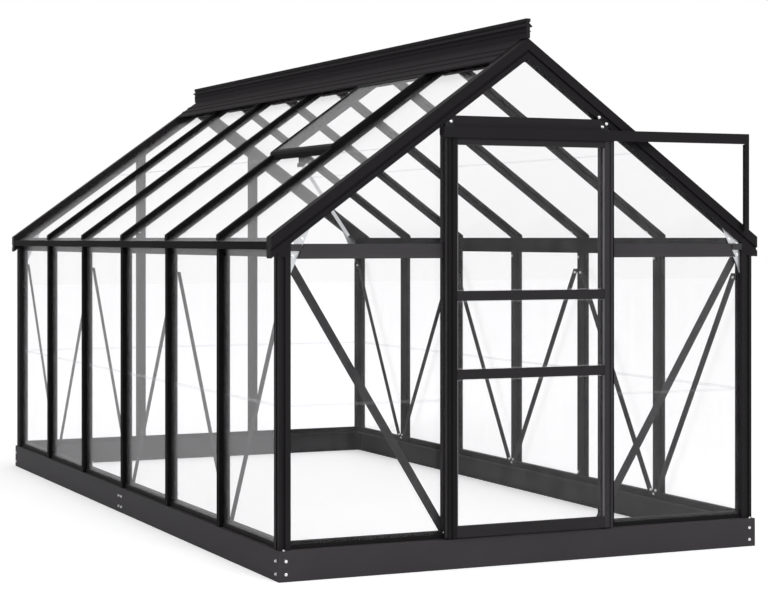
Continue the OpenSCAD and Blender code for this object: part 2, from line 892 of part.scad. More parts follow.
module front_glass_left() {
    front_glass(left);
}

module front_glass_right() {
    front_glass(right);
}

module front_glass_top() {
    z0 = base_h + header_z + header_h + fit;
    x = min(jamb_stem_x[0] - fit, (pane_z(0) - z0) / slope - rebate);
    color(clear)
        placed()
            gable_plate(front, glass_d, [[-x, z0], [x, z0], [x, pane_z(x)], [0, pane_z(0)], [-x, pane_z(x)]]);
}

// Panes of one slope: two to a bay, without the upper one where the vent is
module roof_glass(side, vent) {
    lower = [roof_lap + fit, half_w + pane_over];
    upper = [ridge_web / 2 + fit, roof_lap - fit];
    color(clear)
        placed()
            for (k = [0 : bays - 1]) {
                y = pane_y(k, half_l - bar_d - fit);
                roof_slab(side, lower, roof_glass_d, y);
                if (k + 1 != vent)
                    roof_slab(side, upper, roof_glass_d, y);
            }
}

module left_roof_glass() {
    roof_glass(left, vent_bay);
}

module right_roof_glass() {
    roof_glass(right, 0);
}

// Vent: its frame lies on the roof bars and on the sill bar
vent_y = [bar_y(vent_bay - 1) - vent_lap, bar_y(vent_bay) + vent_lap];
vent_x = [skirt_x[0] + vent_gap, roof_lap + vent_sill_w / 2 + vent_lip];
inset = [vent_member, -vent_member];

module vent_frame() {
    color(coat)
        placed()
            difference() {
                roof_slab(left, vent_x, [roof_cap_in - vent_h, roof_cap_in - seat], vent_y);
                roof_slab(left, vent_x + inset, [roof_cap_in - vent_h - lap, roof_cap_in + lap],
                    vent_y + inset);
            }
}

module vent_glass() {
    gap = [fit, -fit];
    middle = roof_cap_in - vent_h / 2;
    color(clear)
        placed()
            roof_slab(left, vent_x + inset + gap, [middle - glass_t / 2, middle + glass_t / 2],
                vent_y + inset + gap);
}

module vent_sill() {
    x = [roof_lap - vent_sill_w / 2, roof_lap + vent_sill_w / 2];
    y = [bar_y(vent_bay - 1) + cap_w / 2 + fit, bar_y(vent_bay) - cap_w / 2 - fit];
    mid = (y[0] + y[1]) / 2;
    across = [mid - stay_bracket[2] / 2, mid + stay_bracket[2] / 2];
    color(coat)
        placed() {
            roof_slab(left, x, roof_cap, y);
            roof_slab(left, [x[0], roof_lap], [roof_cap[1] - lap, bar_d + lap], across);
            roof_slab(left, [x[1] - stay_bracket[0], x[1]], [bar_d, bar_d + stay_bracket[1]], across);
        }
}

// Stay: a flat arm that hangs inwards from the bracket under the sill bar
module vent_stay() {
    mid = (vent_y[0] + vent_y[1]) / 2;
    x = roof_lap + (vent_sill_w - stay_bracket[0]) / 2;
    lean = atan2(stay_reach[1], stay_reach[0]);
    color(bare)
        placed()
            translate([-x, mid - stay[1] / 2, roof_z(x, bar_d + stay_bracket[1] + fit)])
                rotate([0, lean, 0])
                    translate([0, 0, -stay[0] / 2])
                        cube([norm(stay_reach), stay[1], stay[0]]);
}

// Places the door's parts: x across the leaf from its middle, y in front of the gable
module leaf_box(x, y, z) {
    box(x, [door_mid + y[0], door_mid + y[1]], z);
}

module door_stiles() {
    edge = door_w / 2;
    middle = edge - stile_w / 2;
    color(coat)
        placed()
            for (side = [left, right])
                difference() {
                    leaf_box([side * (edge - stile_w), side * edge], [-door_t / 2, door_t / 2], door_z);
                    leaf_box([side * middle - stile_groove[0] / 2, side * middle + stile_groove[0] / 2],
                        [-door_t, stile_groove[1] - door_t / 2], [door_z[0] - lap, door_z[1] + lap]);
                    leaf_box([side * (edge - stile_step[0]), side * (edge + lap)],
                        [-door_t, stile_step[1] - door_t / 2], [door_z[0] - lap, door_z[1] + lap]);
                }
}

// Lower and upper edges of the four rails, from the bottom to the top
rail_z = concat([[door_z[0], door_z[0] + bottom_rail_h]],
    [for (mid = mid_rail_z) [base_h + mid - mid_rail_h / 2, base_h + mid + mid_rail_h / 2]],
    [[door_z[1] - top_rail_h, door_z[1]]]);

module door_rails() {
    x = door_w / 2 - stile_w;
    color(coat)
        placed()
            for (z = rail_z)
                leaf_box([-x, x], [rail_set - door_t / 2, door_t / 2 - rail_set], z);
}

module door_glass() {
    x = door_w / 2 - stile_w - fit;
    color(clear)
        placed()
            for (k = [0 : len(rail_z) - 2])
                leaf_box([-x, x], [-glass_t / 2, glass_t / 2], [rail_z[k][1] + fit, rail_z[k + 1][0] - fit]);
}

// Hangers stand on the top rail and reach up through the slot in the track
module door_hangers() {
    color(bare)
        placed()
            for (side = [left, right])
                difference() {
                    leaf_box([side * hanger_x - hanger[0] / 2, side * hanger_x + hanger[0] / 2],
                        [-hanger[1] / 2, hanger[1] / 2], [door_z[1], roller_z + axle_dia + hanger[1]]);
                    translate([side * hanger_x, door_mid, roller_z])
                        rotate([90, 0, 0])
                            cylinder(d = axle_dia + 2 * fit, h = 4 * hanger[1], center = true, $fn = 32);
                }
}

// Each roller is a pair of wheels on one axle, standing on the lips beside the slot
module door_rollers() {
    wheel_y = hanger[1] / 2 + fit;
    color("#3a3a3c")
        placed()
            for (side = [left, right])
                translate([side * hanger_x, door_mid, roller_z])
                    rotate([90, 0, 0]) {
                        cylinder(d = axle_dia, h = 2 * wheel_y + roller_w, center = true, $fn = 32);
                        for (face = [-1, 1])
                            translate([0, 0, face * (wheel_y + roller_w / 2)])
                                cylinder(d = roller_dia, h = roller_w, center = true, $fn = 64);
                    }
}

base_front();
base_rear();
base_left();
base_right();
base_fixings();
sill_front();
sill_rear();
side_sills();
corner_posts();
left_wall_bars();
right_wall_bars();
rear_gable_bars();
door_jambs();
door_header();
front_ties();
eave_beam_left();
eave_beam_right();
ridge_beam();
front_rafters();
rear_rafters();
left_roof_bars();
right_roof_bars();
corner_gussets();
left_wall_braces();
right_wall_braces();
front_braces();
door_track();
track_strut();
left_wall_glass();
right_wall_glass();
rear_gable_glass();
front_glass_left();
front_glass_right();
front_glass_top();
left_roof_glass();
right_roof_glass();
vent_frame();
vent_glass();
vent_sill();
vent_stay();
door_stiles();
door_rails();
door_glass();
door_hangers();
door_rollers();
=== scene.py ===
"""Looks of a glass greenhouse with a sliding door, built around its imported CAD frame.

Every size is in metres, in the frame of the CAD model: +X to the right of the door, +Y from the
door gable to the back, +Z up, with the origin under the middle of the object.
"""

import logging
import math
from dataclasses import dataclass, field
from enum import Enum
from typing import Callable, Dict, Iterable, List, Optional, Sequence, Tuple, Union

import bmesh
import bpy
from mathutils import Matrix, Vector


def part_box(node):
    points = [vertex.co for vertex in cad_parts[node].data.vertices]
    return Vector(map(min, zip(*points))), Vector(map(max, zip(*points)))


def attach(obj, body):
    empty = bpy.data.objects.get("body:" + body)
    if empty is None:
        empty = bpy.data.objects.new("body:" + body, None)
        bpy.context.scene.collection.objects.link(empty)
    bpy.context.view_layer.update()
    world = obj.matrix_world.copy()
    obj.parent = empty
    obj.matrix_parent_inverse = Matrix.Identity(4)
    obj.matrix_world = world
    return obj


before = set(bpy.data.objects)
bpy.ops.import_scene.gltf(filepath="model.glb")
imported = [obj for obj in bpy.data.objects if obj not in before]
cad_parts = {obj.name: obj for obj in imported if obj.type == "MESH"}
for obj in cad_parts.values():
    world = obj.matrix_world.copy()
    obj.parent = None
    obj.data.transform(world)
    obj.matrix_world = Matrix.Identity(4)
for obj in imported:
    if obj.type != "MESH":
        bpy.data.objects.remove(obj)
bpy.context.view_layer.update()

log = logging.getLogger("greenhouse")

Piece = bpy.types.Object
Pair = Tuple[float, float]
Triple = Tuple[float, float, float]
Spot = Tuple[Vector, Vector]
Place = Tuple[Matrix, float]

UP = Vector((0.0, 0.0, 1.0))
FORWARD = Vector((0.0, -1.0, 0.0))
REARWARD = Vector((0.0, 1.0, 0.0))
OUTWARD = Vector((1.0, 0.0, 0.0))
INWARD = Vector((-1.0, 0.0, 0.0))
ROOF_RISE = 0.722


# ----- Shader maths -----


@dataclass(frozen=True)
class Wire:
    """A node's output, on which Python's operators add Math nodes."""

    tree: bpy.types.NodeTree
    socket: bpy.types.NodeSocket

    def _math(self, operation: str, first: "Operand", second: "Operand", clamp: bool = False) -> "Wire":
        """Adds one Math node.

        Args:
            operation: The Math node's operation.
            first: Its first value or link.
            second: Its second value or link.
            clamp: Whether the result stays between 0 and 1.

        Returns:
            The node's output.
        """
        node = self.tree.nodes.new("ShaderNodeMath")
        node.operation = operation
        node.use_clamp = clamp
        for place, value in zip(node.inputs, (first, second)):
            if isinstance(value, Wire):
                self.tree.links.new(value.socket, place)
            else:
                place.default_value = value
        return Wire(self.tree, node.outputs[0])

    def __add__(self, other: "Operand") -> "Wire":
        """Sum."""
        return self._math("ADD", self, other)

    def __radd__(self, other: "Operand") -> "Wire":
        """Sum, with the number in front."""
        return self._math("ADD", other, self)

    def __sub__(self, other: "Operand") -> "Wire":
        """Difference."""
        return self._math("SUBTRACT", self, other)

    def __rsub__(self, other: "Operand") -> "Wire":
        """Difference, with the number in front."""
        return self._math("SUBTRACT", other, self)

    def __mul__(self, other: "Operand") -> "Wire":
        """Product."""
        return self._math("MULTIPLY", self, other)

    def __rmul__(self, other: "Operand") -> "Wire":
        """Product, with the number in front."""
        return self._math("MULTIPLY", other, self)

    def __truediv__(self, other: "Operand") -> "Wire":
        """Quotient."""
        return self._math("DIVIDE", self, other)

    def __rtruediv__(self, other: "Operand") -> "Wire":
        """Quotient, with the number in front."""
        return self._math("DIVIDE", other, self)

    def __pow__(self, other: "Operand") -> "Wire":
        """Power."""
        return self._math("POWER", self, other)

    def __gt__(self, other: "Operand") -> "Wire":
        """1 where this is more than the other, else 0."""
        return self._math("GREATER_THAN", self, other)

    def __lt__(self, other: "Operand") -> "Wire":
        """1 where this is less than the other, else 0."""
        return self._math("LESS_THAN", self, other)

    def most(self, other: "Operand") -> "Wire":
        """The larger of the two."""
        return self._math("MAXIMUM", self, other)

    def clamped(self) -> "Wire":
        """The same value, kept between 0 and 1."""
        return self._math("ADD", self, 0.0, clamp=True)


Operand = Union[Wire, float]


@dataclass
class Graph:
    """The node tree of a material or of the world."""

    tree: bpy.types.NodeTree

    @classmethod
    def of_material(cls, name: str) -> Tuple["Graph", bpy.types.Material]:
        """Makes an empty material.

        Args:
            name: The material's name.

        Returns:
            Its graph, and the material.
        """
        material = bpy.data.materials.new(name)
        material.use_nodes = True
        material.node_tree.nodes.clear()
        return cls(material.node_tree), material

    def node(
        self,
        kind: str,
        settings: Optional[Dict[str, object]] = None,
        sockets: Optional[Dict[Union[str, int], object]] = None,
        output: Union[str, int] = 0,
    ) -> Wire:
        """Adds a node.

        Args:
            kind: The node's type.
            settings: Its own settings, which are set first.
            sockets: Values or links of its inputs, by name or by place.
            output: Which output is wanted.

        Returns:
            That output.
        """
        made = self.tree.nodes.new(kind)
        for name, value in (settings or {}).items():
            setattr(made, name, value)
        for place, value in (sockets or {}).items():
            socket = made.inputs[place]
            if isinstance(value, Wire):
                self.tree.links.new(value.socket, socket)
            else:
                socket.default_value = value
        return Wire(self.tree, made.outputs[output])

    def place(self) -> Wire:
        """Object coordinates, in metres."""
        return self.node("ShaderNodeTexCoord", output="Object")

    def noise(self, place: Wire, scale: float, detail: float = 2.0, rough: float = 0.5) -> Wire:
        """A noise pattern.

        Args:
            place: The coordinates it reads.
            scale: Lumps to a metre.
            detail: How many finer layers it has.
            rough: How strong the finer layers are.

        Returns:
            A value between 0 and 1, about a half on average.
        """
        return self.node(
            "ShaderNodeTexNoise",
            None,
            {"Vector": place, "Scale": scale, "Detail": detail, "Roughness": rough},
            "Fac",
        )

    def along(self, place: Wire, run: "Run") -> Wire:
        """Coordinates drawn out along a bar.

        Args:
            place: The coordinates.
            run: Which way the bar runs.

        Returns:
            The drawn-out coordinates.
        """
        turn, stretch = run.value
        turned = self.node("ShaderNodeMapping", None, {"Vector": place, "Rotation": (0.0, turn, 0.0)})
        return self.node("ShaderNodeMapping", None, {"Vector": turned, "Scale": stretch})

    def part(self, vector: Wire, direction: Sequence[float]) -> Wire:
        """How far a vector reaches along a direction, as their dot product."""
        return self.node("ShaderNodeVectorMath", {"operation": "DOT_PRODUCT"}, {0: vector, 1: direction}, "Value")

    def facing(self, direction: Sequence[float]) -> Wire:
        """How squarely the surface faces a direction, from -1 to 1."""
        return self.part(self.node("ShaderNodeNewGeometry", output="Normal"), direction)

    def tint(self, low: Union[Wire, Triple], high: Union[Wire, Triple], share: Wire) -> Wire:
        """A colour between two, at a share of the way."""
        first, second = (colour if isinstance(colour, Wire) else (*colour, 1.0) for colour in (low, high))
        return self.node("ShaderNodeMix", {"data_type": "RGBA"}, {0: share, 6: first, 7: second}, 2)

    def bump(self, height: Wire, strength: float, distance: float) -> Wire:
        """The normal bent by a relief, whose height of 1 stands for the distance in metres."""
        return self.node("ShaderNodeBump", None, {"Height": height, "Strength": strength, "Distance": distance})

    def mix(self, share: Operand, low: Wire, high: Wire) -> Wire:
        """A mix of two shaders."""
        return self.node("ShaderNodeMixShader", None, {0: share, 1: low, 2: high})

    def close(self, surface: Wire, kind: str = "ShaderNodeOutputMaterial") -> None:
        """Joins a shader to the output."""
        output = self.tree.nodes.new(kind)
        self.tree.links.new(surface.socket, output.inputs["Surface"])

    def close_coat(self, tone: Wire, rough: Wire, normal: Wire, more: Dict[str, float]) -> None:
        """Ends a material with an opaque shader of these inputs."""
        sockets = {"Base Color": tone, "Roughness": rough, "Normal": normal, **more}
        self.close(self.node("ShaderNodeBsdfPrincipled", None, sockets))


class Run(Enum):
    """Which way a bar runs: a turn about Y that lays it along an axis, and how its pattern is drawn out."""

    UPRIGHT = (0.0, (1.0, 1.0, 0.012))
    ACROSS = (0.0, (0.012, 1.0, 1.0))
    LENGTHWAYS = (0.0, (1.0, 0.012, 1.0))
    LEFT_SLOPE = (math.atan(ROOF_RISE), (0.012, 1.0, 1.0))
    RIGHT_SLOPE = (-math.atan(ROOF_RISE), (0.012, 1.0, 1.0))


# ----- Finishes -----


def scaled(colour: Triple, by: float) -> Triple:
    """A colour made darker or lighter."""
    return tuple(min(1.0, part * by) for part in colour)


@dataclass(frozen=True)
class Finish:
    """A finish that pieces and CAD nodes are dressed in."""

    name: str

    def build(self, graph: Graph, place: Wire) -> None:
        """Adds the finish's nodes to its graph, with patterns that read the given coordinates."""
        raise NotImplementedError

    def material(self) -> bpy.types.Material:
        """Finds the finish's material, and makes it the first time.

        Returns:
            The material.
        """
        material = bpy.data.materials.get(self.name)
        if material is None:
            graph, material = Graph.of_material(self.name)
            self.build(graph, graph.place())
        return material

    def dress(self, *pieces: Piece) -> None:
        """Gives the finish to pieces.

        Args:
            pieces: The objects to dress.
        """
        for piece in pieces:
            if not piece.material_slots:
                piece.data.materials.append(None)
            for slot in piece.material_slots:
                slot.material = self.material()

    def dress_nodes(self, *names: str) -> None:
        """Gives the finish to CAD nodes."""
        self.dress(*(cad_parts[name] for name in names))


@dataclass(frozen=True)
class PowderCoat(Finish):
    """Satin powder coat on drawn aluminium: orange peel, die lines, clouding and settled dust."""

    tone: Triple = (0.026, 0.025, 0.026)
    run: Run = Run.UPRIGHT
    roughness: float = 0.46
    specular: float = 0.02
    peel: float = 620.0

    def paint(self, graph: Graph, place: Wire, cloud: Wire) -> Tuple[Wire, Wire]:
        """Mixes the coat's colour.

        Args:
            graph: The material's graph.
            place: The coordinates of the patterns.
            cloud: The clouding.

        Returns:
            The colour, and what it adds to the roughness.
        """
        settled = (graph.facing(UP) - 0.4).clamped() * graph.noise(place, 38.0, 4.0, 0.6)
        coat = graph.tint(scaled(self.tone, 0.82), scaled(self.tone, 1.18), cloud)
        dust = graph.tint((0.06, 0.058, 0.055), (0.11, 0.106, 0.1), cloud)
        return graph.tint(coat, dust, (settled * 0.35).clamped()), settled * 0.3

    def build(self, graph: Graph, place: Wire) -> None:
        """Adds the finish's nodes.

        Args:
            graph: The material's graph.
            place: The coordinates of the patterns.
        """
        lines = graph.noise(graph.along(place, self.run), 420.0, 3.0, 0.6)
        peel = graph.noise(place, self.peel, 2.0, 0.5)
        cloud = graph.noise(place, 3.1, 5.0, 0.55)
        tone, added = self.paint(graph, place, cloud)
        rough = self.roughness + (lines - 0.5) * 0.16 + (cloud - 0.5) * 0.14 + added
        relief = graph.bump(peel * 0.7 + lines * 0.5, 0.35, 0.00018)
        graph.close_coat(tone, rough, relief, {"Specular IOR Level": self.specular})


@dataclass(frozen=True)
class CapAndShadeCoat(PowderCoat):
    """Powder coat with a darker second tone beyond a seam: a black capping strip over the outer part of each bar, and
    painted shade over the left door stile.
    """

    cap_and_shade_tone: Triple = (0.0075, 0.007, 0.0075)
    outward: Triple = (1.0, 0.0, 0.0)
    seam: float = 0.0
    two_sided: bool = False

    def paint(self, graph: Graph, place: Wire, cloud: Wire) -> Tuple[Wire, Wire]:
        """Mixes the colours of the coat and of the darker tone beyond the seam: the capping strip on the bars, painted
        shade on the left door stile.

        Args:
            graph: The material's graph.
            place: The coordinates of the patterns.
            cloud: The clouding.

        Returns:
            The colour, and what it adds to the roughness.
        """
        across = place
        if self.two_sided:
            across = graph.node("ShaderNodeVectorMath", {"operation": "ABSOLUTE"}, {0: place})
        # Beyond the seam: a black capping strip on the bars, and painted shade over the left door stile.
        cap_and_shade_mask = graph.part(across, self.outward) > self.seam
        coat = graph.tint(scaled(self.tone, 0.82), scaled(self.tone, 1.18), cloud)
        cap_and_shade = graph.tint(scaled(self.cap_and_shade_tone, 0.75), scaled(self.cap_and_shade_tone, 1.3), cloud)
        return graph.tint(coat, cap_and_shade, cap_and_shade_mask), cap_and_shade_mask * 0.06


@dataclass(frozen=True)
class PaneGlass(Finish):
    """Clear horticultural glass: a soft sheen that grows at a shallow angle, and a faint film of dust."""

    tint: Triple = (0.994, 0.993, 0.995)
    sheen: float = 0.16
    film: float = 0.02

    def build(self, graph: Graph, place: Wire) -> None:
        """Adds the finish's nodes.

        Args:
            graph: The material's graph.
            place: The coordinates of the patterns.
        """
        streaks = graph.noise(graph.along(place, Run.UPRIGHT), 24.0, 4.0, 0.6)
        spots = graph.noise(place, 9.0, 5.0, 0.65)
        film = ((streaks * 0.5 + spots * 0.5 - 0.42) * 3.0).clamped()
        clear = graph.node("ShaderNodeBsdfTransparent", None, {"Color": (*self.tint, 1.0)})
        gloss = graph.node("ShaderNodeBsdfGlossy", None, {"Color": (0.95, 0.94, 0.95, 1.0), "Roughness": 0.28})
        dust = graph.node("ShaderNodeBsdfDiffuse", None, {"Color": (0.95, 0.95, 0.95, 1.0)})
        shallow = graph.node("ShaderNodeLayerWeight", None, {"Blend": 0.5}, "Facing")
        pane = graph.mix(((shallow ** 1.15) * self.sheen).clamped(), clear, gloss)
        graph.close(graph.mix(film * self.film, pane, dust))


@dataclass(frozen=True)
class BareMetal(Finish):
    """Bright metal with fine brushing."""

    tone: Triple = (0.78, 0.785, 0.8)
    roughness: float = 0.34
    run: Run = Run.UPRIGHT

    def build(self, graph: Graph, place: Wire) -> None:
        """Adds the finish's nodes.

        Args:
            graph: The material's graph.
            place: The coordinates of the patterns.
        """
        brush = graph.noise(graph.along(place, self.run), 1500.0, 3.0, 0.6)
        bloom = graph.noise(place, 55.0, 4.0, 0.6)
        tone = graph.tint(scaled(self.tone, 0.86), scaled(self.tone, 1.08), bloom)
        rough = self.roughness + (brush - 0.5) * 0.22 + (bloom - 0.5) * 0.2
        graph.close_coat(tone, rough, graph.bump(brush, 0.3, 0.00008), {"Metallic": 1.0})


@dataclass(frozen=True)
class Moulded(Finish):
    """Moulded plastic or rubber with a fine grain."""

    tone: Triple = (0.04, 0.04, 0.042)
    roughness: float = 0.52
    specular: float = 0.4
    grain: float = 900.0

    def build(self, graph: Graph, place: Wire) -> None:
        """Adds the finish's nodes.

        Args:
            graph: The material's graph.
            place: The coordinates of the patterns.
        """
        grain = graph.noise(place, self.grain, 3.0, 0.6)
        cloud = graph.noise(place, 21.0, 4.0, 0.6)
        tone = graph.tint(scaled(self.tone, 0.8), scaled(self.tone, 1.2), cloud)
        rough = self.roughness + (cloud - 0.5) * 0.2
        graph.close_coat(tone, rough, graph.bump(grain, 0.35, 0.00012), {"Specular IOR Level": self.specular})


@dataclass(frozen=True)
class ClearStrip(Finish):
    """Clear extruded plastic, slightly milky."""

    milk: float = 0.05
    sheen: float = 0.12

    def build(self, graph: Graph, place: Wire) -> None:
        """Adds the finish's nodes.

        Args:
            graph: The material's graph.
            place: The coordinates of the patterns.
        """
        cloud = graph.noise(place, 60.0, 4.0, 0.6)
        clear = graph.node("ShaderNodeBsdfTransparent", None, {"Color": (0.985, 0.985, 0.988, 1.0)})
        gloss = graph.node("ShaderNodeBsdfGlossy", None, {"Color": (0.93, 0.93, 0.94, 1.0), "Roughness": 0.34})
        shallow = graph.node("ShaderNodeLayerWeight", None, {"Blend": 0.5}, "Facing")
        share = shallow * self.sheen + cloud * self.milk + self.milk * 0.5
        graph.close(graph.mix(share.clamped(), clear, gloss))


# ----- Modelling moves -----


class Bench:
    """Modelling moves, as they are made by hand."""

    @staticmethod
    def clear() -> None:
        """Leaves edit mode and deselects everything."""
        if bpy.context.object is not None and bpy.context.object.mode != "OBJECT":
            bpy.ops.object.mode_set(mode="OBJECT")
        bpy.ops.object.select_all(action="DESELECT")

    @staticmethod
    def take(piece: Piece) -> None:
        """Makes one object the only selected one.

        Args:
            piece: The object.
        """
        Bench.clear()
        piece.select_set(True)
        bpy.context.view_layer.objects.active = piece

    @staticmethod
    def start(name: str) -> Piece:
        """Names the piece that was just added and opens it with all its faces selected.

        Args:
            name: The piece's name.

        Returns:
            The object, in edit mode.
        """
        piece = bpy.context.object
        piece.name = name
        bpy.ops.object.mode_set(mode="EDIT")
        bpy.ops.mesh.select_mode(type="FACE")
        bpy.ops.mesh.select_all(action="SELECT")
        return piece

    @staticmethod
    def block(name: str, size: Sequence[float], at: Sequence[float] = (0.0, 0.0, 0.0)) -> Piece:
        """Starts a piece from a cube and stays in edit mode.

        Args:
            name: The piece's name.
            size: Its size along X, Y and Z.
            at: Its middle.

        Returns:
            The object.
        """
        Bench.clear()
        bpy.ops.mesh.primitive_cube_add(size=1.0)
        piece = Bench.start(name)
        bpy.ops.transform.resize(value=tuple(size))
        bpy.ops.transform.translate(value=tuple(at))
        return piece

    @staticmethod
    def moulding(name: str, size: Sequence[float], width: float, rise: float, edge: float) -> Piece:
        """Models a straight moulding with a raised front and rounded edges.

        Args:
            name: The piece's name.
            size: Its size along X, Y and Z.
            width: The moulding's width, by which the next two are measured.
            rise: How far the middle of its front stands out.
            edge: How far its edges are rounded.

        Returns:
            The object.
        """
        piece = Bench.block(name, size)
        Bench.pick(piece, lambda middle, normal: normal.y < -0.9)
        Bench.inset(width * 0.25, width * rise)
        Bench.round_edges(width * edge)
        return Bench.done(piece)

    @staticmethod
    def pick(piece: Piece, test: Callable[[Vector, Vector], bool]) -> int:
        """Selects faces in edit mode.

        Args:
            piece: The object in edit mode.
            test: Says from a face's middle and normal whether it is wanted.

        Returns:
            How many faces are selected.
        """
        mesh = bmesh.from_edit_mesh(piece.data)
        bpy.ops.mesh.select_all(action="DESELECT")
        mesh.faces.ensure_lookup_table()
        mesh.normal_update()
        chosen = [face for face in mesh.faces if test(face.calc_center_median(), face.normal)]
        for face in chosen:
            face.select_set(True)
        mesh.select_flush(True)
        bmesh.update_edit_mesh(piece.data)
        return len(chosen)

    @staticmethod
    def pull(by: Sequence[float]) -> None:
        """Extrudes the selected faces by a vector."""
        bpy.ops.mesh.extrude_region_move(TRANSFORM_OT_translate={"value": tuple(by)})

    @staticmethod
    def inset(width: float, depth: float = 0.0) -> None:
        """Insets the selected faces by a width, and moves the middle out by a depth."""
        bpy.ops.mesh.inset(thickness=width, depth=depth, use_boundary=True)

    @staticmethod
    def split(at: Sequence[float], normal: Sequence[float]) -> None:
        """Cuts the whole piece along the plane through a point, square to a normal."""
        bpy.ops.mesh.select_all(action="SELECT")
        bpy.ops.mesh.bisect(plane_co=tuple(at), plane_no=tuple(normal))

    @staticmethod
    def round_edges(width: float) -> None:
        """Bevels every edge of the piece that turns a corner.

        Args:
            width: The bevel's width.
        """
        bpy.ops.mesh.select_all(action="DESELECT")
        bpy.ops.mesh.select_mode(type="EDGE")
        bpy.ops.mesh.edges_select_sharp(sharpness=math.radians(40.0))
        bpy.ops.mesh.bevel(offset=width, segments=1, affect="EDGES")
        bpy.ops.mesh.select_mode(type="FACE")

    @staticmethod
    def done(piece: Piece, smooth: float = 35.0) -> Piece:
        """Leaves edit mode, points faces outwards and smooths shallow edges.

        Args:
            piece: The object.
            smooth: The angle up to which edges are smoothed, in degrees.

        Returns:
            The object.
        """
        bpy.ops.mesh.select_all(action="SELECT")
        bpy.ops.mesh.remove_doubles(threshold=0.00001)
        bpy.ops.mesh.normals_make_consistent(inside=False)
        Bench.take(piece)
        bpy.ops.object.shade_smooth_by_angle(angle=math.radians(smooth))
        return piece

    @staticmethod
    def copy(master: Piece, name: str, place: Matrix) -> Piece:
        """Copies a piece with a mesh of its own and moves the mesh into place.

        Args:
            master: The piece to copy.
            name: The copy's name.
            place: Where the copy goes.

        Returns:
            The copy, at the origin, with its place in its mesh.
        """
        made = master.copy()
        made.data = master.data.copy()
        made.name = name
        made.data.name = name
        bpy.context.scene.collection.objects.link(made)
        made.matrix_world = place
        Bench.take(made)
        bpy.ops.object.transform_apply(location=True, rotation=True, scale=True)
        return made

    @staticmethod
    def join(pieces: Sequence[Piece], name: str) -> Piece:
        """Joins copies into one piece.

        Args:
            pieces: The copies.
            name: The joined piece's name.

        Returns:
            The joined piece.
        """
        Bench.clear()
        for piece in pieces:
            piece.select_set(True)
        bpy.context.view_layer.objects.active = pieces[0]
        if len(pieces) > 1:
            bpy.ops.object.join()
        joined = bpy.context.view_layer.objects.active
        joined.name = name
        joined.data.name = name
        return joined

    @staticmethod
    def drop(piece: Piece) -> None:
        """Removes a master piece once its copies are made."""
        bpy.data.objects.remove(piece, do_unlink=True)


def facing_place(at: Vector, outward: Vector) -> Matrix:
    """Where a piece modelled about +Z goes, so that it stands on a point and faces outward."""
    return Matrix.Translation(at) @ outward.to_track_quat("Z", "X").to_matrix().to_4x4()


def mirrored(vector: Vector, side: int) -> Vector:
    """A point or direction of the right side (1), or its mirror image on the left (-1)."""
    return Vector((side * vector.x or 0.0, vector.y, vector.z))


class Body(Enum):
    """The CAD bodies that pieces ride on."""

    FRAME = "frame"
    DOOR = "door"


class Slot(Enum):
    """The record's material slots that added pieces belong to."""

    GLASS = "glass"
    ALUMINIUM = "bare_aluminium"
    PLASTIC = "roller_plastic"


def settle(piece: Piece, body: Body, slot: Slot, finish: Finish) -> Piece:
    """Dresses a new piece, fixes it to its body and reports it.

    Args:
        piece: The piece.
        body: The body that it rides on.
        slot: The record's slot that its finish belongs to; not used.
        finish: Its finish.

    Returns:
        The piece.
    """
    finish.dress(piece)
    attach(piece, body.value)
    log.info("%s: %s, %d faces", piece.name, finish.name, len(piece.data.polygons))
    return piece


@dataclass
class Bolt:
    """A hexagon bolt head on a washer, modelled once and copied to where it is used."""

    finish: Finish
    across: float = 0.008
    head: float = 0.0036
    washer: float = 0.0115
    washer_t: float = 0.0012
    master: Optional[Piece] = None

    def model(self) -> Piece:
        """Models the bolt head about +Z, standing on the origin.

        Returns:
            The head, which is also kept as the master.
        """
        radius = self.across / 2.0 / math.cos(math.pi / 6.0)
        Bench.clear()
        bpy.ops.mesh.primitive_cylinder_add(vertices=6, radius=radius, depth=self.head, location=(0.0, 0.0, 0.0))
        piece = Bench.start("bolt")
        bpy.ops.transform.translate(value=(0.0, 0.0, self.washer_t + self.head / 2.0))
        Bench.pick(piece, lambda middle, normal: normal.z > 0.9)
        Bench.inset(radius * 0.16, 0.0006)
        Bench.inset(radius * 0.3, 0.0003)
        bpy.ops.mesh.primitive_cylinder_add(
            vertices=14, radius=self.washer / 2.0, depth=self.washer_t, location=(0.0, 0.0, self.washer_t / 2.0)
        )
        Bench.pick(piece, lambda middle, normal: normal.z > 0.9 and abs(middle.z - self.washer_t) < 0.0001)
        Bench.inset(0.0007, 0.0003)
        self.master = Bench.done(piece, 30.0)
        return self.master

    def fix(self, name: str, spots: Iterable[Spot], sides: Sequence[int] = (-1, 1)) -> Piece:
        """Copies the bolt to every spot of a group that rides on the frame.

        Args:
            name: The group's name.
            spots: Points of the right side and the directions that the heads face.
            sides: Which sides get them, -1 for the left and 1 for the right.

        Returns:
            The group as one piece.
        """
        master = self.master or self.model()
        right = list(spots)
        places = [facing_place(mirrored(at, side), mirrored(outward, side)) for side in sides for at, outward in right]
        copies = [Bench.copy(master, f"{name}_{number}", place) for number, place in enumerate(places)]
        return settle(Bench.join(copies, name), Body.FRAME, Slot.ALUMINIUM, self.finish)


